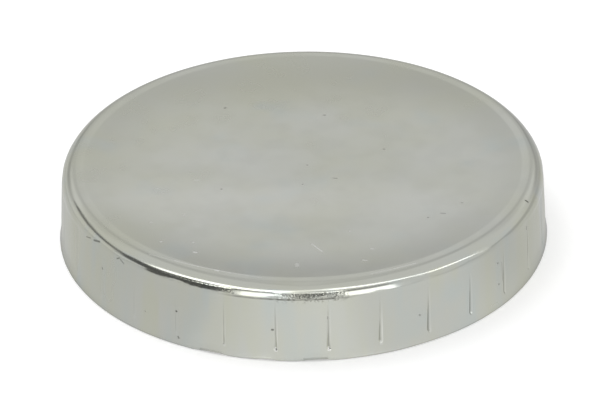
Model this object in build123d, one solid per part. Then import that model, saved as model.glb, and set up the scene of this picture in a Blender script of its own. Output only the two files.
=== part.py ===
from build123d import *
import math
import os

# Bayonet fuel cap for a filler neck with a 60 mm mouth, standing on its skirt.
# Millimetres and degrees. Z is the cap's axis, Z = 0 the skirt's lower edge.

# Shell, drawn from one round of sheet
rim_diameter = 77.0          # over the lower edge
shell_height = 12.4          # from the lower edge to the crown
shell_sheet = 0.8            # thickness of the sheet
corner_radius = 2.3          # outside, between the top and the skirt
wall_draft = 3.0             # lean of the skirt, wider towards the lower edge
dish_depth = 1.0             # floor of the dish below the crown
dish_edge_angle = 7.5        # slope of the dish where it meets the crown
band_height = 1.5            # plain band along the lower edge
band_flare = 0.25            # how far the band opens out, beyond where the skirt leaves off

# Flutes, pressed in from outside by an upright wedge; the skirt leans away from them downwards
flute_count = 30
flute_angle = 90.0           # between the flanks
flute_depth = 0.45           # at the lower end, where the flute is deepest
flute_end_slope = 45.0       # of the flute's two ends
flute_above_band = 0.1       # from the band to the flute's lower end
flute_below_corner = 0.3     # from the flute's upper end to the corner

# Bayonet cup, closed end up, welded under the floor of the dish
neck_bore_diameter = 60.0    # mouth of the filler neck that the cup goes into
cup_neck_clearance = 0.75    # on the radius, between the cup and the neck
cup_sheet = 1.2
cup_bevel = 1.5              # conical shoulder round the closed end
lug_overlap = 3.0            # how far a lug reaches out past the neck's bore
lug_width = 14.0
lug_root_bevel = 1.0         # above the lug, where it leaves the cup's wall
lug_tip_radius = 1.8         # rounded outer corners of a lug
lug_set_back = 1.2           # lugs lie this far inside the skirt's lower edge
trim_height = 1.8            # edge between the lugs, above their upper faces
trim_radius = 1.0            # where that edge runs down into the lugs' sides
vent_diameter = 1.6
vent_inset = 3.6             # from the cup's wall to the vent hole's centre

# Sealing ring, stretched over the cup and pressed up against the shell
ring_width = 5.75
ring_thickness = 2.6         # level with the dish's floor, which the ring's upper face rises from
notch_width = 2.0            # vent notch across the ring's upper face
notch_depth = 0.9


# Outline of the shell

rim_radius = rim_diameter / 2
skirt_low_radius = rim_radius - band_flare
draft = math.radians(wall_draft)
edge_slope = math.radians(dish_edge_angle)


def skirt_radius(height):
    """Outer radius of the leaning skirt, between the band and the corner."""
    return skirt_low_radius - (height - band_height) * math.tan(draft)


corner_centre_z = shell_height - corner_radius
corner_low_z = corner_centre_z + corner_radius * math.sin(draft)
crown_radius = skirt_radius(corner_low_z) - corner_radius * math.cos(draft)
dish_floor_z = shell_height - dish_depth
dish_edge_radius = crown_radius - corner_radius * math.sin(edge_slope)
dish_edge_z = corner_centre_z + corner_radius * math.cos(edge_slope)
dish_floor_radius = dish_edge_radius - (dish_edge_z - dish_floor_z) / math.tan(edge_slope / 2)
dish_sweep_radius = (dish_edge_radius - dish_floor_radius) / math.sin(edge_slope)


def shell_stretches():
    """The shell's outer face in four stretches, from the axis over the crown to the lower edge."""
    dish_floor = Line((0, dish_floor_z), (dish_floor_radius, dish_floor_z))
    sweep_centre = (dish_floor_radius, dish_floor_z + dish_sweep_radius)
    dish_sweep = CenterArc(sweep_centre, dish_sweep_radius, -90, dish_edge_angle)
    corner_start = 90 + dish_edge_angle
    corner = CenterArc(
        (crown_radius, corner_centre_z), corner_radius, corner_start, wall_draft - corner_start
    )
    skirt = Polyline(corner @ 1, (skirt_low_radius, band_height), (rim_radius, 0))
    return dish_floor, dish_sweep, corner, skirt


def one_sheet_in(corners, sheet):
    """The other face of a sheet whose outer face runs straight from corner to corner."""
    ways = [(end - start).normalized() for start, end in zip(corners, corners[1:])]
    sides = [Vector(way.Y, -way.X) for way in ways]
    joints = zip(corners, sides[:1] + sides, sides + sides[-1:])
    return [corner + (one + two) * (sheet / (1 + one.dot(two))) for corner, one, two in joints]


def shell_inner_line():
    """The shell's inner face. Its arcs are short flats, as it is out of sight."""
    dish_floor, dish_sweep, corner, skirt = shell_stretches()
    corners = [dish_floor @ 0]
    corners += [dish_sweep @ part for part in (0, 1 / 2)]
    corners += [corner @ part for part in (0, 1 / 3, 2 / 3)]
    corners += [stretch @ 0 for stretch in skirt.edges()] + [skirt @ 1]
    return Polyline(one_sheet_in(corners, shell_sheet))


def turned_under(line):
    """A solid of revolution that fills everything under a line, down to Z = 0 or just below."""
    closing = Polyline(line @ 1, (0, 0), line @ 0)
    return revolve(Plane.XZ * make_face(line + closing), Axis.Z)


# Shell

flute_low_z = band_height + flute_above_band
flute_high_z = corner_low_z - flute_below_corner
flute_floor_radius = skirt_radius(flute_low_z) - flute_depth
wedge_reach = rim_radius - flute_floor_radius + 1


def grown(outline, growth):
    """The face inside a straight-edged outline, with each edge moved out by the growth."""
    face = make_face(outline)
    return offset(face, amount=growth, kind=Kind.INTERSECTION) if growth else face


def flute_wedges(growth):
    """The pressing wedges round the skirt, with each of their faces moved out by the growth."""
    half_width = wedge_reach * math.tan(math.radians(flute_angle / 2))
    end_slope = math.tan(math.radians(flute_end_slope))
    floor_low_z = flute_low_z + flute_depth * end_slope
    nose = Polyline((0, 0), (wedge_reach, half_width), (wedge_reach, -half_width), close=True)
    side = Polyline(
        (0, floor_low_z),
        (wedge_reach, floor_low_z - wedge_reach * end_slope),
        (wedge_reach, flute_high_z + wedge_reach * end_slope),
        (0, flute_high_z),
        close=True,
    )
    nose_bar = extrude(grown(nose, growth), amount=2 * shell_height)
    side_bar = extrude(Plane.XZ * grown(side, growth), amount=2 * wedge_reach, both=True)
    wedge = nose_bar & side_bar
    return [place * wedge for place in PolarLocations(flute_floor_radius, flute_count)]


def shell_cavity():
    """Everything under the shell, before the flutes are pressed in."""
    return turned_under(shell_inner_line())


def cap_shell():
    """One sheet of even thickness: each flute outside is a rib inside."""
    dish_floor, dish_sweep, corner, skirt = shell_stretches()
    ribbed_cavity = shell_cavity() - flute_wedges(shell_sheet)
    form = turned_under(dish_floor + dish_sweep + corner + skirt)
    return form - ribbed_cavity - flute_wedges(0)


# Bayonet cup

cup_radius = neck_bore_diameter / 2 - cup_neck_clearance
cup_top_z = dish_floor_z - shell_sheet
lug_radius = neck_bore_diameter / 2 + lug_overlap
lug_upper_z = lug_set_back + cup_sheet
trim_z = lug_upper_z + trim_height


def cup_section():
    """Closed end, wall and lug, from the face that looks up and outwards to the other face."""
    outer = [
        Vector(0, cup_top_z),
        Vector(cup_radius - cup_bevel, cup_top_z),
        Vector(cup_radius, cup_top_z - cup_bevel),
        Vector(cup_radius, lug_upper_z + lug_root_bevel),
        Vector(cup_radius + lug_root_bevel, lug_upper_z),
        Vector(lug_radius, lug_upper_z),
    ]
    inner = one_sheet_in(outer, cup_sheet)
    return make_face(Polyline(outer + inner[::-1], close=True))


def trim_windows():
    """What the trimming tool takes away on both sides of the lugs."""
    window = RectangleRounded(2 * lug_radius, 2 * trim_z, trim_radius)
    side = lug_width / 2 + lug_radius
    profile = Plane.XZ * (Pos(side, 0) * window + Pos(-side, 0) * window)
    return extrude(profile, amount=2 * lug_radius, both=True)


def bayonet_cup():
    """One pressed cup with two lugs bent out of its wall, and a small vent hole in its end."""
    cup = revolve(Plane.XZ * cup_section(), Axis.Z) - trim_windows()
    tip_edges = cup.edges().filter_by(Axis.Z).group_by(lambda edge: abs(edge.center().Y))[-1]
    cup = fillet(tip_edges, lug_tip_radius)
    vent = Pos(cup_radius - vent_inset, 0, cup_top_z) * Cylinder(vent_diameter / 2, 3 * cup_sheet)
    return cup - vent


# Sealing ring

ring_low_z = cup_top_z - ring_thickness


def sealing_ring():
    """A flat ring whose upper face follows the shell, with one notch that lets the tank breathe."""
    height = shell_height - ring_low_z
    upright = (Align.CENTER, Align.CENTER, Align.MIN)
    blank = Cylinder(cup_radius + ring_width, height, align=upright)
    blank -= Cylinder(cup_radius, height, align=upright)
    ring = (Pos(0, 0, ring_low_z) * blank) & shell_cavity()
    notch = Box(2 * ring_width, notch_width, height, align=upright)
    return ring - Pos(cup_radius + ring_width / 2, 0, cup_top_z - notch_depth) * notch


os.makedirs("parts", exist_ok=True)
export_step(cap_shell(), "parts/cap_shell.step")
export_step(bayonet_cup(), "parts/bayonet_cup.step")
export_step(sealing_ring(), "parts/sealing_ring.step")
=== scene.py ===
import math
import random
from types import SimpleNamespace

import bpy
import numpy as np
from mathutils import Matrix, Vector

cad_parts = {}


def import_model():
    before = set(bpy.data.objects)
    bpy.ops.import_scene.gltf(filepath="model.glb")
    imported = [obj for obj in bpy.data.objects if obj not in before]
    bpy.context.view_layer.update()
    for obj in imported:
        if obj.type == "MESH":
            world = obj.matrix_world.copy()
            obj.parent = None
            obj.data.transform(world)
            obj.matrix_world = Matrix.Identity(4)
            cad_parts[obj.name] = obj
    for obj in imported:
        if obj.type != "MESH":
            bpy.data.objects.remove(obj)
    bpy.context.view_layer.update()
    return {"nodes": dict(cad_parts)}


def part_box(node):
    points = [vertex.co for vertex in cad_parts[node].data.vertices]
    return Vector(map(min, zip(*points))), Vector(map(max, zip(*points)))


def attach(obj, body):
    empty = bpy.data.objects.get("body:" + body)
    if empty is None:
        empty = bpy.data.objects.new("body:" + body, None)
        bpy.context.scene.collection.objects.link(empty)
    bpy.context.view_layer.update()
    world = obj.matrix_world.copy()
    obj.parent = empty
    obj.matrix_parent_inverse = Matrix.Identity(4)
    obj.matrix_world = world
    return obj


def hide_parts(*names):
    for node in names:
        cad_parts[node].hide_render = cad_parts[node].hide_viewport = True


# Bayonet fuel cap standing on its skirt. Sizes are in millimetres, and MM turns them into metres.
# Polar angles are in degrees, counted from +X. The camera is on the side of -Y, which is at 270.

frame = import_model()
MM = 0.001
_, shell_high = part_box("cap_shell")
RIM_RADIUS = shell_high.x / MM
CROWN_Z = shell_high.z / MM

# Shell
SHEET = 0.8
CORNER_RADIUS = 2.3
WALL_DRAFT = math.radians(3.0)
BAND_HEIGHT = 1.5            # of the plain band along the lower edge
BAND_FLARE = 0.25
EDGE_ROUNDING = 0.18         # of the sheared lower edge, outside and inside

# Top: a nearly level ring inside the corner, a crease, and the dish
RING_WIDTH = 0.8
RING_SLOPE = math.tan(math.radians(1.2))
CREASE_WIDTH = 0.45
DISH_EDGE_SLOPE = math.tan(math.radians(8.2))
DISH_DEPTH = 1.0             # from the crown to the flat floor

# Lower edge: lifts left by the shearing, as (polar angle, half width, height), and its fine waves
EDGE_LIFTS = ((249.4, 3.2, 0.25), (261.6, 2.4, 0.22), (273.4, 3.0, 0.25), (300.0, 5.0, 0.08))
WAVE_HEIGHT = 0.03
WAVE_COUNTS = (9, 23)        # of the two waves that are multiplied, round the cap
WAVE_SHIFT = 1.0             # of the first one, in radians

SKIRT_LOW_RADIUS = RIM_RADIUS - BAND_FLARE


def skirt_radius(z):
    """Outer radius of the leaning skirt at a height, without its flutes."""
    return SKIRT_LOW_RADIUS - (z - BAND_HEIGHT) * math.tan(WALL_DRAFT)


CORNER_CENTRE_Z = CROWN_Z - CORNER_RADIUS
CORNER_LOW_Z = CORNER_CENTRE_Z + CORNER_RADIUS * math.sin(WALL_DRAFT)
CROWN_RADIUS = skirt_radius(CORNER_LOW_Z) - CORNER_RADIUS * math.cos(WALL_DRAFT)
RING_RADIUS = CROWN_RADIUS - RING_WIDTH
DISH_EDGE_RADIUS = RING_RADIUS - CREASE_WIDTH
RING_DROP = (RING_WIDTH * RING_SLOPE + CREASE_WIDTH * (RING_SLOPE + DISH_EDGE_SLOPE)) / 2
DISH_FLOOR_RADIUS = DISH_EDGE_RADIUS - 2 * (DISH_DEPTH - RING_DROP) / DISH_EDGE_SLOPE
DISH_FLOOR_Z = CROWN_Z - DISH_DEPTH

# Flutes
FLUTE_COUNT = 30
FLUTE_PITCH = 2 * math.pi / FLUTE_COUNT
FLUTE_LOW_Z = BAND_HEIGHT + 0.1
FLUTE_HIGH_Z = CORNER_LOW_Z - 0.3
FLUTE_DEPTH = 0.45           # at the lower end
FLUTE_FLOOR_RADIUS = skirt_radius(FLUTE_LOW_Z) - FLUTE_DEPTH
FLOOR_SOFTNESS = 0.10        # rounding of a flute's floor
SHOULDER_SOFTNESS = 0.07     # and of its shoulders

# How deeply each flute is pressed, as a share. Those that show in the photograph are listed by their
# number, counted from +X, and the others are left to chance.
SEEN_FLUTES = {16: 0.3, 17: 0.25, 18: 0.2, 19: 0.25, 20: 0.3, 21: 0.6, 22: 0.9, 23: 1.0, 24: 1.0, 25: 0.9,
               26: 0.8, 27: 0.7, 28: 0.9}
random.seed(7)
FLUTE_SHARES = np.array([SEEN_FLUTES.get(number, random.uniform(0.4, 1.0)) for number in range(FLUTE_COUNT)])

# The pressing also draws in the sheet round each flute's upper part, by a share of this depth
DRAW_IN = 0.07
DRAW_IN_WIDTH = 1.7
DRAW_IN_Z = 9.6
DRAW_IN_HEIGHT = 2.4
DRAW_SHARES = np.array([random.uniform(0.3, 1.3) for number in range(FLUTE_COUNT)])


# Helpers that build nodes


class Nodes:
    """Adds nodes to a tree. A value is a number, a tuple or the output of another node."""

    def __init__(self, tree):
        self.tree = tree
        self.tree.nodes.clear()

    def add(self, kind):
        """A new node, named without the ShaderNode in front."""
        return self.tree.nodes.new("ShaderNode" + kind)

    def put(self, socket, value):
        """Links an output to an input, or sets the input's value."""
        if isinstance(value, bpy.types.NodeSocket):
            self.tree.links.new(value, socket)
        else:
            socket.default_value = value

    def math(self, operation, first, second=0.0, third=0.0, clamp=False):
        """One step of arithmetic."""
        node = self.add("Math")
        node.operation = operation
        node.use_clamp = clamp
        for socket, value in zip(node.inputs, (first, second, third)):
            self.put(socket, value)
        return node.outputs[0]

    def product(self, *values):
        """All the values multiplied."""
        result = values[0]
        for value in values[1:]:
            result = self.math("MULTIPLY", result, value)
        return result

    def ramp(self, value, low, high, to_low=0.0, to_high=1.0):
        """Smooth step of a value from one range to another."""
        node = self.add("MapRange")
        node.interpolation_type = "SMOOTHSTEP"
        self.put(node.inputs["Value"], value)
        node.inputs["From Min"].default_value = low
        node.inputs["From Max"].default_value = high
        node.inputs["To Min"].default_value = to_low
        node.inputs["To Max"].default_value = to_high
        return node.outputs[0]

    def rise_and_fall(self, value, begin, full, last_full, end):
        """From 0 up to 1 between the first two numbers, and down again between the last two."""
        return self.product(self.ramp(value, begin, full), self.ramp(value, end, last_full))

    def between(self, value, low, high, softness):
        """1 between two numbers and 0 elsewhere, with soft edges."""
        half = softness / 2
        return self.rise_and_fall(value, low - half, low + half, high - half, high + half)

    def mix(self, amount, first, second):
        """Colour between two colours."""
        node = self.add("Mix")
        node.data_type = "RGBA"
        sockets = (node.inputs[0], node.inputs[6], node.inputs[7])
        for socket, value in zip(sockets, (amount, first, second)):
            self.put(socket, (*value, 1.0) if isinstance(value, tuple) else value)
        return node.outputs[2]

    def grey_ramp(self, value, stops):
        """Brightness that goes smoothly through stops of (value, brightness)."""
        low, high = stops[0][0], stops[-1][0]
        node = self.add("ValToRGB")
        node.color_ramp.interpolation = "EASE"
        elements = node.color_ramp.elements
        while len(elements) < len(stops):
            elements.new(0.5)
        for element, (at, tone) in zip(elements, stops):
            element.position = (at - low) / (high - low)
            element.color = (tone, tone, tone, 1)
        self.put(node.inputs[0], self.math("MULTIPLY_ADD", value, 1 / (high - low), -low / (high - low)))
        return node.outputs[0]

    def axes(self, vector):
        """The three numbers of a vector."""
        node = self.add("SeparateXYZ")
        self.put(node.inputs[0], vector)
        return node.outputs

    def degrees_right(self, x, y):
        """Degrees from the camera's side to its right, round the cap."""
        return self.math("DEGREES", self.math("ARCTAN2", x, self.math("MULTIPLY", y, -1.0)))


class Shader(Nodes):
    """Nodes of one material, with its Principled shader."""

    def __init__(self, name):
        self.material = bpy.data.materials.new(name)
        self.material.use_nodes = True
        super().__init__(self.material.node_tree)
        self.output = self.add("OutputMaterial")
        self.principled = self.add("BsdfPrincipled")
        self.put(self.output.inputs[0], self.principled.outputs[0])
        self.place = self.add("TexCoord").outputs["Object"]

    def set(self, **inputs):
        """Sets the Principled shader's own inputs, with _ for the spaces in their names."""
        for name, value in inputs.items():
            self.put(self.principled.inputs[name.replace("_", " ")], value)

    def vector(self, operation, first, second=(0, 0, 0)):
        """One step with vectors, which gives a vector, or a number where that is what it measures."""
        node = self.add("VectorMath")
        node.operation = operation
        self.put(node.inputs[0], first)
        self.put(node.inputs[1], second)
        measures = operation in ("LENGTH", "DISTANCE", "DOT_PRODUCT")
        return node.outputs["Value" if measures else "Vector"]

    def times(self, vector, factor):
        """A vector multiplied by a number."""
        node = self.add("VectorMath")
        node.operation = "SCALE"
        self.put(node.inputs[0], vector)
        self.put(node.inputs["Scale"], factor)
        return node.outputs["Vector"]

    def noise(self, pattern, stretch=(1, 1, 1)):
        """A noise pattern, given as (scale for each metre, detail, roughness, seed)."""
        node = self.add("TexNoise")
        node.noise_dimensions = "4D"
        self.put(node.inputs["Vector"], self.vector("MULTIPLY", self.place, stretch))
        for name, value in zip(("Scale", "Detail", "Roughness", "W"), pattern):
            node.inputs[name].default_value = value
        return node.outputs[0]

    def bump(self, height, strength, distance, normal=None):
        """Normal of a surface with small heights on it, over another such normal if there is one."""
        node = self.add("Bump")
        node.inputs["Strength"].default_value = strength
        node.inputs["Distance"].default_value = distance * MM
        self.put(node.inputs["Height"], height)
        if normal is not None:
            self.put(node.inputs["Normal"], normal)
        return node.outputs[0]


# Marks of wear, with a painted glint along the crease and painted shadow under the lower edge


def on_skirt(polar, z):
    """A point on the outer face of the skirt or the corner."""
    angle = math.radians(polar)
    radius = skirt_radius(z)
    if z > CORNER_LOW_Z:
        radius = CROWN_RADIUS + math.sqrt(CORNER_RADIUS ** 2 - (z - CORNER_CENTRE_Z) ** 2)
    return (radius * math.cos(angle), radius * math.sin(angle), z)


def on_top(polar, distance):
    """A place on the top at a distance from the axis."""
    angle = math.radians(polar)
    return (distance * math.cos(angle), distance * math.sin(angle))


# On the top, as (x, y): from, to, half width, strength
WHITE_TOP_MARKS_AND_CREASE_GLINT = (
    ((1.56, -23.35), (3.08, -25.7), 0.12, 0.8),
    ((-21.34, -23.22), (-21.3, -23.2), 0.2, 0.7),
    ((-16.49, -23.02), (-16.4, -23.0), 0.18, 0.7),
    ((-16.24, -26.21), (-15.9, -26.3), 0.22, 0.9),
    ((-23.1, -17.01), (-23.0, -17.0), 0.16, 0.5),
    ((-22.57, -6.47), (-22.5, -6.4), 0.16, 0.5),
    ((-16.8, -3.8), (-16.1, -3.85), 0.12, 0.5),
    ((-18.12, -14.42), (-18.1, -14.4), 0.16, 0.5),
    ((-0.67, -29.7), (-0.62, -30.4), 0.35, 0.35),
    ((7.34, -19.65), (7.4, -19.6), 0.16, 0.5),
    ((10.5, -25.2), (10.8, -25.3), 0.18, 0.6),
    ((9.3, -28.9), (9.8, -29.1), 0.18, 0.6),
    # The last seven are a painted highlight: a glint along the ring, by the crease
    (on_top(230.2, 35.77), on_top(237.2, 35.04), 0.09, 0.3),
    (on_top(237.2, 35.04), on_top(243.5, 34.74), 0.12, 0.55),
    (on_top(243.5, 34.74), on_top(252.1, 34.65), 0.12, 0.5),
    (on_top(248.3, 34.68), on_top(249.0, 34.68), 0.2, 0.8),
    (on_top(252.1, 34.65), on_top(260.2, 34.94), 0.10, 0.35),
    (on_top(287.2, 35.2), on_top(293.4, 35.15), 0.10, 0.4),
    (on_top(293.4, 35.15), on_top(299.2, 35.2), 0.12, 0.55),
)
DARK_TOP_MARKS = (
    ((4.8, -3.6), (5.4, -3.7), 0.12, 0.5),
    ((12.8, 5.3), (12.9, 5.3), 0.2, 0.4),
    ((-12.6, 19.0), (-12.5, 19.1), 0.25, 0.4),
    ((-12.6, -6.7), (-12.5, -6.6), 0.16, 0.4),
    ((0.7, 0.5), (0.8, 0.5), 0.16, 0.4),
    ((0.0, -5.4), (0.1, -5.4), 0.14, 0.4),
    ((3.4, 16.4), (3.5, 16.4), 0.25, 0.35),
    ((21.3, -14.8), (22.0, -14.95), 0.12, 0.5),
    ((24.6, -11.9), (24.7, -11.9), 0.16, 0.4),
    ((19.3, -16.0), (19.35, -16.0), 0.16, 0.5),
    ((34.45, -12.3), (34.7, -12.35), 0.2, 0.9),
)
# On the skirt and the corner, as (polar angle, height): from, to, half width, strength
DARK_SKIRT_MARKS_AND_EDGE_SHADOW = (
    ((209.3, 10.15), (211.2, 10.55), 0.12, 0.6),
    ((212.8, 10.7), (215.0, 11.1), 0.18, 0.7),
    ((222.2, 10.4), (223.0, 10.7), 0.14, 0.6),
    ((223.4, 10.6), (224.6, 10.2), 0.14, 0.5),
    ((216.5, 7.1), (216.7, 6.9), 0.15, 0.6),
    ((231.4, 3.8), (231.5, 3.7), 0.12, 0.4),
    ((240.2, 5.7), (240.3, 5.7), 0.18, 0.9),
    ((240.7, 1.4), (240.9, 1.2), 0.16, 0.6),
    ((263.3, 5.3), (263.5, 5.3), 0.2, 0.8),
    ((275.9, 7.4), (275.9, 7.1), 0.14, 0.5),
    ((297.6, 5.1), (297.8, 5.0), 0.16, 0.5),
    ((321.7, 7.8), (321.8, 7.7), 0.16, 0.6),
    ((321.8, 4.1), (321.9, 4.0), 0.16, 0.5),
    ((335.8, 9.4), (335.8, 8.9), 0.14, 0.9),
    ((335.9, 8.9), (335.9, 5.4), 0.07, 0.6),
    ((323.3, 7.4), (323.3, 4.2), 0.07, 0.5),
    # The last five are painted shadow under the lower edge, where it lifts off the floor
    ((246.5, 0.35), (251.5, 0.3), 0.24, 0.5),
    ((253.0, 0.15), (259.0, 0.15), 0.14, 0.35),
    ((259.0, 0.15), (265.0, 0.2), 0.16, 0.4),
    ((265.0, 0.15), (270.5, 0.15), 0.14, 0.35),
    ((270.5, 0.35), (275.5, 0.4), 0.26, 0.5),
)
# Soft edge of a mark, from its outer to its inner side, in half widths
MARK_EDGE = (1.3, 0.3)

# Soft clouds on the dish, as middle, half lengths along x and y, and strength; the light ones are a painted
# sheen
PAINTED_SHEEN_CLOUDS = (((-4.0, -10.5), (28.0, 6.0), 0.17), ((-20.0, 0.0), (11.0, 13.0), 0.08))
OLIVE_CLOUDS = (((3.0, 25.0), (24.0, 7.0), 0.45), ((-28.0, 6.0), (6.0, 12.0), 0.2))
CLOUD_EDGE = (1.6, 0.2)      # in half lengths


def mark_mask(shader, place, marks):
    """Adds up soft spots round short straight lines between points in space."""
    total = 0.0
    for start, end, half_width, strength in marks:
        start, end = Vector(start) * MM, Vector(end) * MM
        along = end - start
        from_start = shader.vector("SUBTRACT", place, tuple(start))
        share = shader.vector("DOT_PRODUCT", from_start, tuple(along / along.length_squared))
        share = shader.math("MULTIPLY", share, 1.0, clamp=True)
        distance = shader.vector("DISTANCE", from_start, shader.times(tuple(along), share))
        spot = shader.ramp(distance, *(half_width * MM * edge for edge in MARK_EDGE))
        total = shader.math("MULTIPLY_ADD", spot, strength, total)
    return total


def top_mark_mask(shader, flat_place, marks):
    """Marks on the top, as they lie in plan."""
    return mark_mask(shader, flat_place, [((*start, 0), (*end, 0), *rest) for start, end, *rest in marks])


def skirt_mark_mask(shader, marks):
    """Marks on the skirt and the corner."""
    in_space = [(on_skirt(*start), on_skirt(*end), *rest) for start, end, *rest in marks]
    return mark_mask(shader, shader.place, in_space)


def cloud_mask(shader, flat_place, clouds):
    """Adds up wide soft ellipses on the top."""
    total = 0.0
    for (x, y), (half_x, half_y), strength in clouds:
        off = shader.vector("SUBTRACT", flat_place, (x * MM, y * MM, 0))
        off = shader.vector("MULTIPLY", off, (1 / (half_x * MM), 1 / (half_y * MM), 0))
        cloud = shader.ramp(shader.vector("LENGTH", off), *CLOUD_EDGE)
        total = shader.math("MULTIPLY_ADD", cloud, strength, total)
    return total


# Zinc plating

ZINC = (0.615, 0.627, 0.585)
ZINC_OLIVE = (0.615, 0.625, 0.53)
ZINC_BLUE = (0.585, 0.62, 0.59)
# A darker olive that the dish's olive clouds fade to, towards its back and its left
ZINC_DARK_OLIVE = (0.53, 0.535, 0.45)
# ZINC_DARK is both real dirt and wear and painted shade; ZINC_BRIGHT is both bright wear and painted
# highlights and sheen
ZINC_DARK = (0.13, 0.13, 0.11)
ZINC_BRIGHT = (0.95, 0.95, 0.93)

SHELL_ROUGHNESS = 0.2
CUP_ROUGHNESS = 0.3
CORNER_ROUGHNESS = 0.10      # the drawing ring has burnished the corner
CLOUD_ROUGHNESS = 0.05       # added in the clouds
STREAK_ROUGHNESS = 0.04      # and in the streaks
SCUFF_ROUGHNESS = 0.25       # and in the marks of wear

# Patterns of noise, with the stretch along x, y and z of those that run up the skirt
CLOUDS = (45, 3, 0.55, 1.0)
STREAKS = (260, 2, 0.5, 2.0)
STREAK_STRETCH = (1.0, 1.0, 0.12)
COOL_CLOUDS = (90, 2, 0.5, 3.0)
GRAIN = (2600, 3, 0.6, 5.0)
PANELS = (190, 3, 0.55, 12.0)
PANEL_STRETCH = (1, 1, 0.15)
PATCHES = (300, 2, 0.6, 8.0)
PATCH_STRETCH = (1, 1, 0.6)
RAGS = (900, 2, 0.6, 9.0)
RIPPLES = (420, 2, 0.5, 10.0)
PITS = (3000, 2, 0.6, 11.0)

# Heights of the grain, the corner's ripples and its pits
GRAIN_HEIGHT = 0.02
RIPPLE_HEIGHT = 0.012
PIT_HEIGHT = 0.06
GRAIN_STRENGTH = 0.05        # share of the grain's height that shows
PIT_DIRT = 0.5               # strength of the dirt in the pits

# Where the corner's finish and the skirt's begin, as distances out from the crown's edge
CORNER_BEGINS = (0.3, 1.0)
SKIRT_BEGINS = (1.0, 1.4)
# and where the corner's ends, as heights above the top of the skirt
CORNER_ENDS = (-0.5, 0.1)
# The skirt's outside has the marks. It ends between these distances past the wall's outer face, in
# thicknesses of the sheet.
OUTSIDE_ENDS = (-0.9, -0.8)
# The same for the outside of the top, as distances past the dish's floor
TOP_ENDS = (-0.5, -0.25)

# Polar angles over which the painted shade and highlights in the flutes set in, and their strength at either
# end
MARKED_FRONT = (245, 262, 0.15, 1.0)
MARKED_BACK = (200, 180, 0.0, 0.7)

# Painted shade along each flute's floor and a painted highlight beside it, in millimetres across it
FLUTE_SHADE_HALF_WIDTH = 0.13
FLUTE_SHADE_STRENGTH = (0.35, 0.15)         # the share that is patchy, and the even one
FLUTE_HIGHLIGHT_OFFSET = 0.30
FLUTE_HIGHLIGHT_HALF_WIDTH = 0.13
FLUTE_HIGHLIGHT_STRENGTH = (-0.2, 0.3)
LINE_CORE = 0.3                      # share of a line's half width that is full
# and their heights above the flute's lower end
LINE_BEGINS = (-0.2, 0.2)
LINE_FADES = 2.5                     # full up to here
LINE_LEAST = 0.05                    # what is left of it at the upper end

# A painted highlight at the flute's foot: heights above the flute's lower end, across the
# flute, strength, and the polar angles over which it fades
FOOT_HEIGHTS = (-0.15, 0.1, 0.45, 0.75)
FOOT_OFFSET = 0.08
FOOT_HALF_WIDTH = 0.3
FOOT_HIGHLIGHT_STRENGTH = 0.6
FOOT_ENDS = (292, 285)

# Painted shade in the line where the corner meets the skirt, as (polar angle, half width, strength)
SEAM_SHADE = ((259, 6, 0.6), (272, 8, 0.75))
SEAM_EDGE = (1.5, 0.5)                   # in half widths
SEAM_HEIGHTS = (0.05, 0.2, 0.3, 0.45)    # above the top of the skirt
SEAM_LEAST = 0.5                         # of the strength, in the gaps

# Pitted stretches of the corner, as polar angles, and where they fade, as heights above the skirt
PITTED_FRONT = (262, 267, 278, 282)
PITTED_LEFT = (226, 249, 252, 256)
PITTED_LEFT_SHARE = 0.6
PITTED_LEFT_BEGINS = (0.3, 0.6)
PITS_END = (1.3, 1.1)


def shell_places(shader):
    """Where a point of the shell lies, with masks of the burnished corner and the skirt's outside."""
    in_mm = shader.times(shader.place, 1 / MM)
    x, y, z = shader.axes(in_mm)
    distance = shader.vector("LENGTH", shader.vector("MULTIPLY", in_mm, (1, 1, 0)))
    polar = shader.math("ARCTAN2", y, x)
    degrees = shader.math("MODULO", shader.math("MULTIPLY_ADD", polar, 180 / math.pi, 360.0), 360.0)
    turns = shader.math("DIVIDE", polar, FLUTE_PITCH)
    off_flute = shader.math("SUBTRACT", turns, shader.math("ROUND", turns))
    across = shader.math("MULTIPLY", off_flute, FLUTE_PITCH * SKIRT_LOW_RADIUS)
    out = shader.math("SUBTRACT", distance, CROWN_RADIUS)
    corner = shader.product(shader.ramp(out, *CORNER_BEGINS),
                            shader.ramp(z, *(CORNER_LOW_Z + height for height in CORNER_ENDS)))
    wall = shader.math("MULTIPLY_ADD", z, -math.tan(WALL_DRAFT), skirt_radius(0.0))
    past_wall = shader.math("SUBTRACT", distance, wall)
    outside = shader.ramp(past_wall, *(SHEET * share for share in OUTSIDE_ENDS))
    skirt = shader.product(shader.ramp(out, *SKIRT_BEGINS), outside)
    top = shader.ramp(z, *(DISH_FLOOR_Z + SHEET * share for share in TOP_ENDS))
    return SimpleNamespace(z=z, across=across, degrees=degrees, corner=corner, skirt=skirt, top=top)


def line_mask(shader, across, middle, half_width):
    """A soft line that runs up the skirt beside each flute's middle."""
    off = shader.math("ABSOLUTE", shader.math("SUBTRACT", across, middle))
    return shader.ramp(off, half_width, LINE_CORE * half_width)


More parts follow.
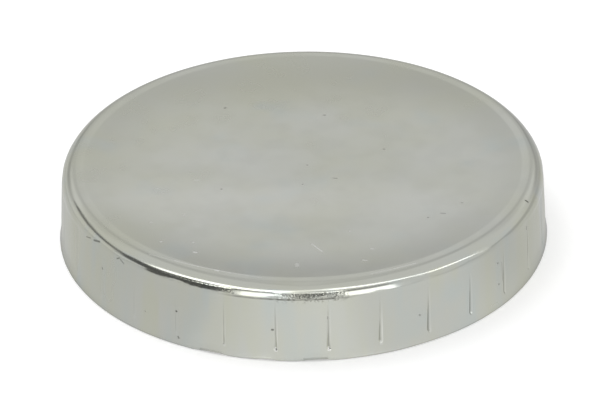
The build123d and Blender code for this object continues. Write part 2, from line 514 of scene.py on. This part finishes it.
def flute_shade_and_highlights(shader, at):
    """Painted shade along the flutes' floors, and painted highlights beside it and at their feet."""
    marked = shader.math("MAXIMUM", shader.ramp(at.degrees, *MARKED_FRONT),
                         shader.ramp(at.degrees, *MARKED_BACK))
    marked = shader.product(marked, at.skirt)
    fading = shader.ramp(at.z, FLUTE_HIGH_Z, FLUTE_LOW_Z + LINE_FADES, LINE_LEAST, 1.0)
    begun = shader.ramp(at.z, *(FLUTE_LOW_Z + height for height in LINE_BEGINS))
    along = shader.product(fading, begun, marked)
    patchy = shader.ramp(shader.noise(PATCHES, PATCH_STRETCH), 0.35, 0.6)
    dirt_and_painted_shade = shader.product(line_mask(shader, at.across, 0.0, FLUTE_SHADE_HALF_WIDTH), along,
                          shader.math("MULTIPLY_ADD", patchy, *FLUTE_SHADE_STRENGTH))
    painted_highlight = shader.product(line_mask(shader, at.across, FLUTE_HIGHLIGHT_OFFSET, FLUTE_HIGHLIGHT_HALF_WIDTH), along,
                           shader.math("MULTIPLY_ADD", patchy, *FLUTE_HIGHLIGHT_STRENGTH))
    foot_highlight = shader.rise_and_fall(at.z, *(FLUTE_LOW_Z + height for height in FOOT_HEIGHTS))
    foot_highlight = shader.product(foot_highlight, line_mask(shader, at.across, FOOT_OFFSET, FOOT_HALF_WIDTH), marked,
                          shader.ramp(at.degrees, *FOOT_ENDS), FOOT_HIGHLIGHT_STRENGTH)
    return dirt_and_painted_shade, shader.math("MAXIMUM", painted_highlight, foot_highlight)


def seam_shade_mask(shader, at):
    """Ragged painted shade in the line under the corner."""
    total = 0.0
    for middle, half_width, strength in SEAM_SHADE:
        off = shader.math("ABSOLUTE", shader.math("SUBTRACT", at.degrees, middle))
        stretch = shader.ramp(off, *(half_width * edge for edge in SEAM_EDGE))
        total = shader.math("MULTIPLY_ADD", stretch, strength, total)
    line = shader.rise_and_fall(at.z, *(CORNER_LOW_Z + height for height in SEAM_HEIGHTS))
    ragged = shader.ramp(shader.noise(RAGS), 0.3, 0.65, SEAM_LEAST, 1.0)
    return shader.math("MULTIPLY", shader.product(total, line, at.skirt), ragged, clamp=True)


def pitted_mask(shader, at):
    """The corner's pitted stretches: one in front, and a slighter one to the left of it."""
    left = shader.product(shader.rise_and_fall(at.degrees, *PITTED_LEFT), PITTED_LEFT_SHARE,
                          shader.ramp(at.z, *(CORNER_LOW_Z + height for height in PITTED_LEFT_BEGINS)))
    pitted = shader.math("MAXIMUM", shader.rise_and_fall(at.degrees, *PITTED_FRONT), left)
    return shader.product(pitted, at.corner,
                          shader.ramp(at.z, *(CORNER_LOW_Z + height for height in PITS_END)))


def plating(shader, roughness):
    """Tint and roughness of zinc plating on cold-rolled sheet, cloudy and faintly streaked."""
    cloud = shader.noise(CLOUDS)
    tint = shader.mix(shader.ramp(cloud, 0.35, 0.75), ZINC, ZINC_OLIVE)
    tint = shader.mix(shader.ramp(shader.noise(COOL_CLOUDS), 0.55, 0.75), tint, ZINC_BLUE)
    rough = shader.math("MULTIPLY_ADD", shader.ramp(cloud, 0.3, 0.7), CLOUD_ROUGHNESS, roughness)
    streak = shader.noise(STREAKS, STREAK_STRETCH)
    rough = shader.math("MULTIPLY_ADD", shader.ramp(streak, 0.4, 0.7), STREAK_ROUGHNESS, rough)
    return tint, rough


def skirt_tint(shader, at, tint):
    """Upright patches of tint on the skirt, painted shade along its flutes and in its seam, and painted
    highlights beside the flutes and at their feet.
    """
    panels = shader.noise(PANELS, PANEL_STRETCH)
    tint = shader.mix(shader.product(shader.ramp(panels, 0.48, 0.7), at.skirt), tint, ZINC_OLIVE)
    tint = shader.mix(shader.product(shader.ramp(panels, 0.52, 0.3), at.skirt), tint, ZINC_BLUE)
    dirt_and_painted_shade, painted_highlight = flute_shade_and_highlights(shader, at)
    # Painted shade along the flutes' floors and in the seam, then painted highlights beside the flutes and
    # at their feet
    tint = shader.mix(shader.math("MAXIMUM", dirt_and_painted_shade, seam_shade_mask(shader, at)), tint, ZINC_DARK)
    return shader.mix(painted_highlight, tint, ZINC_BRIGHT)


def wear_and_painted_light(shader, at, tint, rough):
    """Tint and roughness with the clouds on the dish, the light ones a painted sheen, and all the single
    marks: wear, a painted glint by the crease and painted shadow under the lower edge.
    """
    flat_place = shader.vector("MULTIPLY", shader.place, (1, 1, 0))
    for clouds, colour in ((PAINTED_SHEEN_CLOUDS, ZINC_BRIGHT), (OLIVE_CLOUDS, ZINC_DARK_OLIVE)):
        tint = shader.mix(shader.product(cloud_mask(shader, flat_place, clouds), at.top), tint, colour)
    white = top_mark_mask(shader, flat_place, WHITE_TOP_MARKS_AND_CREASE_GLINT)
    white = shader.math("MULTIPLY", white, at.top, clamp=True)
    dark = shader.product(top_mark_mask(shader, flat_place, DARK_TOP_MARKS), at.top)
    dark = shader.math("ADD", dark, skirt_mark_mask(shader, DARK_SKIRT_MARKS_AND_EDGE_SHADOW), clamp=True)
    tint = shader.mix(dark, shader.mix(white, tint, ZINC_BRIGHT), ZINC_DARK)
    rough = shader.math("MULTIPLY_ADD", shader.math("MAXIMUM", white, dark), SCUFF_ROUGHNESS, rough)
    return tint, rough


def shell_zinc():
    """Plating of the shell, with what pressing, dirt and wear have left on it, painted shade and highlights
    at the flutes, the seam, the crease and the lower edge, and a painted sheen on the dish.
    """
    shader = Shader("zinc_plating_shell")
    at = shell_places(shader)
    tint, rough = plating(shader, SHELL_ROUGHNESS)
    rough = shader.math("MULTIPLY_ADD", at.corner, CORNER_ROUGHNESS - SHELL_ROUGHNESS, rough)
    tint, rough = wear_and_painted_light(shader, at, skirt_tint(shader, at, tint), rough)
    pitted = pitted_mask(shader, at)
    pits = shader.noise(PITS)
    dirt_and_painted_shade = shader.product(shader.ramp(pits, 0.50, 0.40, 0.0, PIT_DIRT), pitted)
    tint = shader.mix(dirt_and_painted_shade, tint, ZINC_DARK)
    normal = shader.bump(shader.product(shader.noise(RIPPLES), at.corner), 1.0, RIPPLE_HEIGHT)
    normal = shader.bump(shader.product(pits, pitted), 1.0, PIT_HEIGHT, normal)
    shader.set(Base_Color=tint, Metallic=1.0, Roughness=rough, Normal=normal)
    return shader.material


def cup_zinc():
    """Plating of the cup, with a fine grain."""
    shader = Shader("zinc_plating_cup")
    tint, rough = plating(shader, CUP_ROUGHNESS)
    normal = shader.bump(shader.noise(GRAIN), GRAIN_STRENGTH, GRAIN_HEIGHT)
    shader.set(Base_Color=tint, Metallic=1.0, Roughness=rough, Normal=normal)
    return shader.material


# Rubber

RUBBER = (0.022, 0.022, 0.023)
RUBBER_DUSTY = (0.045, 0.044, 0.042)
RUBBER_ROUGHNESS = 0.55
DUST_ROUGHNESS = 0.12        # added in the dust
DUST = (400, 4, 0.6, 6.0)
RUBBER_GRAIN = (3000, 3, 0.6, 7.0)
RUBBER_GRAIN_HEIGHT = 0.03
RUBBER_GRAIN_STRENGTH = 0.25


def rubber():
    """Moulded nitrile rubber, matt, with a fine grain and a little dust."""
    shader = Shader("nitrile_rubber")
    dust = shader.ramp(shader.noise(DUST), 0.5, 0.75)
    tint = shader.mix(dust, RUBBER, RUBBER_DUSTY)
    rough = shader.math("MULTIPLY_ADD", dust, DUST_ROUGHNESS, RUBBER_ROUGHNESS)
    normal = shader.bump(shader.noise(RUBBER_GRAIN), RUBBER_GRAIN_STRENGTH, RUBBER_GRAIN_HEIGHT)
    shader.set(Base_Color=tint, Roughness=rough, Normal=normal)
    return shader.material


# Shell skin: rows of (radius, z, outward normal) down its section, turned round in columns

# Rows of the top, as (outer radius, inner radius, count), each stretch without its first row
TOP_STRETCHES = (
    (CROWN_RADIUS, RING_RADIUS, 4),
    (RING_RADIUS, DISH_EDGE_RADIUS, 5),
    (DISH_EDGE_RADIUS, DISH_FLOOR_RADIUS, 9),
)
FLAT_FLOOR_RADII = (16.0, 11.0, 6.0, 2.0)
CORNER_ROWS = 22
# Rows of the skirt, as (upper height, lower height, count), close together at the flutes' ends
SKIRT_STRETCHES = (
    (CORNER_LOW_Z - 0.15, FLUTE_HIGH_Z - 0.9, 6),
    (FLUTE_HIGH_Z - 1.6, FLUTE_LOW_Z + 0.9, 8),
    (FLUTE_LOW_Z + 0.7, FLUTE_LOW_Z - 0.1, 9),
)
BAND_HEIGHTS = (1.2, 0.9, 0.6, 0.35)
# Rows of the lower edge's rounding, outside and inside
OUTER_EDGE_ROWS = 6
INNER_EDGE_ROWS = 5

# Columns beside each flute's middle, in millimetres round the skirt
NEAR_COLUMNS = np.array([0.0, 0.05, 0.11, 0.18, 0.26, 0.34, 0.42, 0.50, 0.62])
FAR_COLUMNS = np.array([0.95, 1.5, 2.2, 3.1])

INNER_LOW_Z = 0.5            # the inner face begins above this height, over the edge's rounding
INSET_LOW_Z = 2 * EDGE_ROUNDING
INSET_HIGH_Z = CORNER_CENTRE_Z + 0.8


def dish_and_corner_rows():
    """Outer face from near the axis to the corner's lower end."""
    radii = [radius for stretch in TOP_STRETCHES for radius in np.linspace(*stretch)[1:]]
    radii += FLAT_FLOOR_RADII
    slopes = np.interp(radii, (DISH_FLOOR_RADIUS, DISH_EDGE_RADIUS, RING_RADIUS, CROWN_RADIUS),
                       (0.0, DISH_EDGE_SLOPE, RING_SLOPE, 0.0))
    rows = []
    z = CROWN_Z
    last_radius, last_slope = CROWN_RADIUS, 0.0
    for radius, slope in zip(radii, slopes):
        z -= (last_radius - radius) * (last_slope + slope) / 2
        last_radius, last_slope = radius, slope
        length = math.hypot(slope, 1)
        rows.append((radius, z, (-slope / length, 1 / length)))
    rows.reverse()
    for angle in np.linspace(math.pi / 2, WALL_DRAFT, CORNER_ROWS):
        out = (math.cos(angle), math.sin(angle))
        rows.append((CROWN_RADIUS + CORNER_RADIUS * out[0], CORNER_CENTRE_Z + CORNER_RADIUS * out[1], out))
    return rows


def skirt_rows():
    """Outer face from the corner to the lower edge's rounding."""
    out = (math.cos(WALL_DRAFT), math.sin(WALL_DRAFT))
    rows = [(skirt_radius(z), z, out) for stretch in SKIRT_STRETCHES for z in np.linspace(*stretch)]
    rows += [(SKIRT_LOW_RADIUS + BAND_FLARE * (1 - z / BAND_HEIGHT), z, out) for z in BAND_HEIGHTS]
    return rows


def edge_rows():
    """The sheared lower edge, rounded over on both sides."""
    rows = []
    outer_centre = RIM_RADIUS - EDGE_ROUNDING
    inner_centre = RIM_RADIUS - SHEET + EDGE_ROUNDING
    for centre, begin, end, count in ((outer_centre, 0, -math.pi / 2, OUTER_EDGE_ROWS),
                                      (inner_centre, -math.pi / 2, -math.pi, INNER_EDGE_ROWS)):
        for angle in np.linspace(begin, end, count):
            out = (math.cos(angle), math.sin(angle))
            rows.append((centre + EDGE_ROUNDING * out[0], EDGE_ROUNDING * (1 + out[1]), out))
    return rows


def inner_rows(outer):
    """The sheet's inner face, back from the lower edge, with every second row of the outer one."""
    rows = [(radius - SHEET * out[0], z - SHEET * out[1], out) for radius, z, out in outer[::2]
            if z > INNER_LOW_Z]
    return rows[::-1]


def flute_columns():
    """Polar angles of the mesh's columns in radians, close together at the flutes."""
    offsets = np.concatenate([-FAR_COLUMNS[::-1], -NEAR_COLUMNS[:0:-1], NEAR_COLUMNS, FAR_COLUMNS])
    middles = [number * FLUTE_PITCH for number in range(FLUTE_COUNT)]
    return np.concatenate([middle + offsets / SKIRT_LOW_RADIUS for middle in middles])


def soft_positive(value, softness):
    """The positive part of a value, with a rounded start."""
    return (value + np.sqrt(value * value + softness * softness)) / 2


def rib_reach(across):
    """How a rib's inner side falls back from its middle: a round nose between flanks at 45 degrees."""
    across = abs(across)
    nose = SHEET - np.sqrt(np.maximum(SHEET ** 2 - across ** 2, 0))
    flank = across - SHEET * (math.sqrt(2) - 1)
    return np.where(across < SHEET * math.sqrt(0.5), nose, flank)


def flute_inset(polar, z, inside):
    """How far the skirt is pressed in at a height, for each polar angle in radians."""
    number = np.round(polar / FLUTE_PITCH).astype(int) % FLUTE_COUNT
    across = ((polar + FLUTE_PITCH / 2) % FLUTE_PITCH - FLUTE_PITCH / 2) * SKIRT_LOW_RADIUS
    wall = skirt_radius(min(z, CORNER_LOW_Z))
    depth = min(wall - FLUTE_FLOOR_RADIUS, z - FLUTE_LOW_Z, FLUTE_HIGH_Z - z) * FLUTE_SHARES[number]
    if inside:
        pressed = np.maximum(depth - rib_reach(across), 0.0)
    else:
        pressed = soft_positive(depth - np.sqrt(across ** 2 + FLOOR_SOFTNESS ** 2), SHOULDER_SOFTNESS)
    away = (across / DRAW_IN_WIDTH) ** 2 + ((z - DRAW_IN_Z) / DRAW_IN_HEIGHT) ** 2
    return pressed + DRAW_IN * DRAW_SHARES[number] * np.exp(-away)


def edge_lift(polar, z):
    """How far the lower edge is lifted at a height, for each polar angle in radians."""
    degrees = np.degrees(polar) % 360
    wide, fine = WAVE_COUNTS
    lift = WAVE_HEIGHT * (1 + np.sin(wide * polar + WAVE_SHIFT) * np.sin(fine * polar)) / 2
    for middle, half_width, height in EDGE_LIFTS:
        lift += height * np.exp(-((degrees - middle) / half_width) ** 4)
    return lift * max(0.0, 1 - z / BAND_HEIGHT)


def skin_rings(angles):
    """Rings of points from the top's middle over the skirt and the lower edge to the inside."""
    outer = dish_and_corner_rows() + skirt_rows()
    rings = []
    for rows, inside in ((outer, False), (edge_rows(), False), (inner_rows(outer), True)):
        for radius, z, _ in rows:
            radii = np.full_like(angles, radius)
            outer_z = z + (SHEET * math.sin(WALL_DRAFT) if inside else 0)
            if radius > CROWN_RADIUS - SHEET and INSET_LOW_Z < z < INSET_HIGH_Z:
                radii -= flute_inset(angles, outer_z, inside)
            heights = z + edge_lift(angles, z)
            rings.append(np.stack([radii * np.cos(angles), radii * np.sin(angles), heights], axis=1))
    return rings


def skin_faces(rows, columns):
    """Quads between the rings, and a fan at each end to the two points that follow the rings."""
    here = np.arange(columns)
    beside = (here + 1) % columns
    faces = []
    for row in range(rows - 1):
        above, below = row * columns, (row + 1) * columns
        faces += np.stack([above + here, below + here, below + beside, above + beside], 1).tolist()
    top, under = rows * columns, rows * columns + 1
    last = (rows - 1) * columns
    faces += [[top, a, b] for a, b in zip(here.tolist(), beside.tolist())]
    faces += [[under, last + b, last + a] for a, b in zip(here.tolist(), beside.tolist())]
    return faces


def shell_skin():
    """The pressed sheet as one closed mesh: outer face, lower edge and inner face."""
    angles = flute_columns()
    rings = skin_rings(angles)
    middles = [[(0, 0, DISH_FLOOR_Z)], [(0, 0, DISH_FLOOR_Z - SHEET)]]
    points = np.concatenate(rings + middles) * MM
    faces = skin_faces(len(rings), len(angles))
    mesh = bpy.data.meshes.new("shell_skin")
    mesh.from_pydata(points.tolist(), [], faces)
    mesh.polygons.foreach_set("use_smooth", [True] * len(faces))
    mesh.validate()
    skin = bpy.data.objects.new("shell_skin", mesh)
    bpy.context.scene.collection.objects.link(skin)
    return skin


# Pieces and their finishes

shell = shell_skin()
shell.data.materials.append(shell_zinc())
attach(shell, "root")
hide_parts("cap_shell")


def refinish(node, material):
    """Gives a carried-over node a finished material."""
    mesh = frame["nodes"][node].data
    mesh.materials.clear()
    mesh.materials.append(material)


refinish("bayonet_cup", cup_zinc())
refinish("sealing_ring", rubber())


# Floor

FLOOR_RADIUS = 600
FLOOR_SIDES = 96
FLOOR_Z = -0.02
FLOOR_COLOUR = (0.9, 0.9, 0.9, 1)
FLOOR_FILL = 0.28            # added to the floor as the camera sees it, up to white

# Painted light: brightness that the floor glows with in the metal, by degrees to the right of the camera's
# side, brightest in front like a pool of light
FLOOR_ROUND = ((-180, 0.65), (-70, 0.67), (-32, 0.71), (-24, 0.80), (-8, 0.88), (8, 0.92), (22, 0.81),
               (45, 0.80), (75, 0.67), (180, 0.62))
# and by distance from the rim, as a share, darker at the rim as a painted contact shadow
FLOOR_OUT = ((0, 0.7), (1.0, 1.0), (60, 1.0), (120, 0.9), (300, 0.85))


def floor():
    """A pale round floor that keeps the cap's soft shadow."""
    angles = [2 * math.pi * side / FLOOR_SIDES for side in range(FLOOR_SIDES)]
    points = [(FLOOR_RADIUS * MM * math.cos(angle), FLOOR_RADIUS * MM * math.sin(angle), 0.0)
              for angle in angles]
    mesh = bpy.data.meshes.new("floor")
    mesh.from_pydata(points, [], [list(range(FLOOR_SIDES))])
    mesh.materials.append(floor_white())
    piece = bpy.data.objects.new("floor", mesh)
    piece.location.z = FLOOR_Z * MM
    bpy.context.scene.collection.objects.link(piece)


def floor_white():
    """White for the camera, with the cap's shadow, and in the metal a glow of painted light: a pool of light
    in front and a contact shadow at the rim.
    """
    shader = Shader("floor_white")
    shader.set(Base_Color=FLOOR_COLOUR, Roughness=0.9, Specular_IOR_Level=0.0)
    x, y, _ = shader.axes(shader.place)
    out = shader.math("SUBTRACT", shader.vector("LENGTH", shader.place), RIM_RADIUS * MM)
    out = shader.math("DIVIDE", out, MM)
    glow = shader.add("Emission")
    shader.put(glow.inputs["Color"], shader.grey_ramp(shader.degrees_right(x, y), FLOOR_ROUND))
    shader.put(glow.inputs["Strength"], shader.grey_ramp(out, FLOOR_OUT))
    fill = shader.add("Emission")
    fill.inputs["Strength"].default_value = FLOOR_FILL
    filled = shader.add("AddShader")
    shader.put(filled.inputs[0], shader.principled.outputs[0])
    shader.put(filled.inputs[1], fill.outputs[0])
    choice = shader.add("MixShader")
    shader.put(choice.inputs[0], shader.add("LightPath").outputs["Is Glossy Ray"])
    shader.put(choice.inputs[1], filled.outputs[0])
    shader.put(choice.inputs[2], glow.outputs[0])
    shader.put(shader.output.inputs[0], choice.outputs[0])
    return shader.material


# World

PLAIN_LIGHT = 0.85           # what lights the cap and the floor
STUDIO_PLAIN = 0.745         # brightness of the studio in the metal, apart from what follows

# Behind the cap, by elevation in degrees
STUDIO_UP = ((-90, 0.70), (0, 0.72), (7, 0.60), (14, 0.43), (18, 0.46), (23, 0.68), (27, 0.80), (32, 0.80),
             (36, 0.68), (41, 0.62), (46, 0.70), (51, 0.75), (90, 0.745))
# and as a share, by degrees away from straight behind
STUDIO_ROUND = ((0, 1.0), (4, 1.0), (8, 0.78), (14, 0.80), (24, 1.0), (180, 1.0))
STUDIO_BEHIND = (60, 28)     # degrees away from straight behind where those two set in

# Cards and lamps, seen from the cap: degrees to the camera's right from and to, elevation from and
# to, softness of the edges in degrees, brightness
STUDIO_CARDS = (
    (-136, -84, 19, 28, 5, 0.16),
    (-92, -68, 13, 34, 6, 0.12),
    (-74, -31, -4, 43, 3, 0.11),
    (-34, 43, 32, 43, 2, 0.35),
    (-28, -10, -4, 29, 3, 2.0),
    (-8, 17, -2, 44, 3, 0.20),
    (19, 42, -4, 28, 3, 2.0),
    (90, 165, -8, 10, 8, 0.52),
    (-176, -166, 12, 24, 5, 0.66),
    (166, 176, 12, 24, 5, 0.66),
)

# A long lamp over the camera: elevation of its middle, by degrees to the camera's right
LAMP_ARCH = ((-82, 41), (-77, 43), (-54, 49), (-24, 47), (-11, 49), (8, 57), (33, 57), (53, 51), (67, 38),
             (80, 30), (88, 15))
LAMP_BRIGHTNESS = 2.6
LAMP_HALF_WIDTH = 5.5
LAMP_EDGE = 1                # softness to each side of its long edges
LAMP_END_SOFTNESS = 10
LAMP_NARROWS = (0, 75)       # over these degrees to the right
LAMP_NARROWER = 1.9          # so many times, past the second
LAMP_GAP = (-7, 16, 8)       # from, to and softness, where the camera hides most of it
LAMP_GAP_DEPTH = 0.7


def grey(brightness):
    """A colour without hue."""
    return (brightness, brightness, brightness)


def studio_behind(nodes, to_right, elevation):
    """Brightness of the studio before the cards and the lamp."""
    off_back = nodes.math("SUBTRACT", 180.0, nodes.math("ABSOLUTE", to_right))
    tone = nodes.product(nodes.grey_ramp(elevation, STUDIO_UP), nodes.grey_ramp(off_back, STUDIO_ROUND))
    return nodes.mix(nodes.ramp(off_back, *STUDIO_BEHIND), grey(STUDIO_PLAIN), tone)


def long_lamp_mask(nodes, to_right, elevation):
    """Where the long lamp is seen, from 0 to 1."""
    arch = nodes.add("FloatCurve")
    points = arch.mapping.curves[0].points
    while len(points) < len(LAMP_ARCH):
        points.new(0.5, 0.5)
    for point, (degrees, height) in zip(points, LAMP_ARCH):
        point.location = ((degrees + 180) / 360, height / 90)
    arch.mapping.update()
    nodes.put(arch.inputs["Value"], nodes.math("MULTIPLY_ADD", to_right, 1 / 360, 0.5))
    middle = nodes.math("MULTIPLY", arch.outputs[0], 90.0)
    off_middle = nodes.math("ABSOLUTE", nodes.math("SUBTRACT", elevation, middle))
    narrower = nodes.ramp(to_right, *LAMP_NARROWS, 1.0, LAMP_NARROWER)
    width = nodes.ramp(nodes.product(off_middle, narrower),
                       LAMP_HALF_WIDTH + LAMP_EDGE, LAMP_HALF_WIDTH - LAMP_EDGE)
    length = nodes.between(to_right, LAMP_ARCH[0][0], LAMP_ARCH[-1][0], LAMP_END_SOFTNESS)
    gap = nodes.math("MULTIPLY_ADD", nodes.between(to_right, *LAMP_GAP), -LAMP_GAP_DEPTH, 1.0)
    return nodes.product(width, length, gap)


def world():
    """White behind the cap, plain light on it, and a soft studio in its reflections."""
    made = bpy.data.worlds.new("studio")
    bpy.context.scene.world = made
    made.use_nodes = True
    nodes = Nodes(made.node_tree)
    output = nodes.add("OutputWorld")
    background = nodes.add("Background")
    nodes.put(output.inputs[0], background.outputs[0])
    x, y, z = nodes.axes(nodes.add("TexCoord").outputs["Generated"])
    elevation = nodes.math("DEGREES", nodes.math("ARCSINE", z))
    to_right = nodes.degrees_right(x, y)
    studio = studio_behind(nodes, to_right, elevation)
    for right_low, right_high, low, high, softness, tone in STUDIO_CARDS:
        card = nodes.product(nodes.between(to_right, right_low, right_high, softness),
                             nodes.between(elevation, low, high, softness))
        studio = nodes.mix(card, studio, grey(tone))
    studio = nodes.mix(long_lamp_mask(nodes, to_right, elevation), studio, grey(LAMP_BRIGHTNESS))
    ray = nodes.add("LightPath").outputs
    colour = nodes.mix(ray["Is Glossy Ray"], grey(PLAIN_LIGHT), studio)
    seen = nodes.math("ADD", ray["Is Camera Ray"], ray["Is Transmission Ray"], clamp=True)
    colour = nodes.mix(seen, colour, grey(1.0))
    nodes.put(background.inputs["Color"], colour)
    background.inputs["Strength"].default_value = 1.0


# Lamp

SOFTBOX_SIZE = 600
SOFTBOX_PLACE = Vector((-350, 250, 700))
SOFTBOX_POWER = 1.6


def lamp():
    """One large soft lamp, high on the left, that only shades the floor and the rubber."""
    light = bpy.data.lights.new("softbox", "AREA")
    light.shape = "SQUARE"
    light.size = SOFTBOX_SIZE * MM
    light.energy = SOFTBOX_POWER
    holder = bpy.data.objects.new("softbox", light)
    holder.location = SOFTBOX_PLACE * MM
    holder.rotation_mode = "QUATERNION"
    holder.rotation_quaternion = (-holder.location).to_track_quat("-Z", "Y")
    holder.visible_glossy = False
    bpy.context.scene.collection.objects.link(holder)


# Camera, set from the photograph's outline

CAMERA_TARGET = Vector((0, 0, 6.2))
CAMERA_DISTANCE = 604.7
CAMERA_ELEVATION = math.radians(30.62)
CAMERA_AZIMUTH = math.radians(0.75)
CAMERA_ROLL = math.radians(-0.94)
CAMERA_LENS = 230.3
CAMERA_SENSOR = 36.0
CAMERA_CLIP = (0.01, 10.0)           # metres
IMAGE_WIDTH = 600
CAMERA_SHIFT = (-2.92, -12.73)       # pixels


def camera():
    """A long lens at the photograph's angle, with the photograph's framing."""
    data = bpy.data.cameras.new("camera")
    data.lens = CAMERA_LENS
    data.sensor_width = CAMERA_SENSOR
    data.shift_x, data.shift_y = (pixels / IMAGE_WIDTH for pixels in CAMERA_SHIFT)
    data.clip_start, data.clip_end = CAMERA_CLIP
    holder = bpy.data.objects.new("camera", data)
    level = math.cos(CAMERA_ELEVATION)
    back = Vector((level * math.sin(CAMERA_AZIMUTH), -level * math.cos(CAMERA_AZIMUTH),
                   math.sin(CAMERA_ELEVATION)))
    right = Vector((math.cos(CAMERA_AZIMUTH), math.sin(CAMERA_AZIMUTH), 0))
    up = back.cross(right)
    x_axis = right * math.cos(CAMERA_ROLL) + up * math.sin(CAMERA_ROLL)
    y_axis = up * math.cos(CAMERA_ROLL) - right * math.sin(CAMERA_ROLL)
    turned = Matrix((x_axis, y_axis, back)).transposed().to_4x4()
    place = (CAMERA_TARGET + back * CAMERA_DISTANCE) * MM
    holder.matrix_world = Matrix.Translation(place) @ turned
    bpy.context.scene.collection.objects.link(holder)
    bpy.context.scene.camera = holder


floor()
world()
lamp()
camera()
bpy.context.scene.view_settings.view_transform = "Standard"
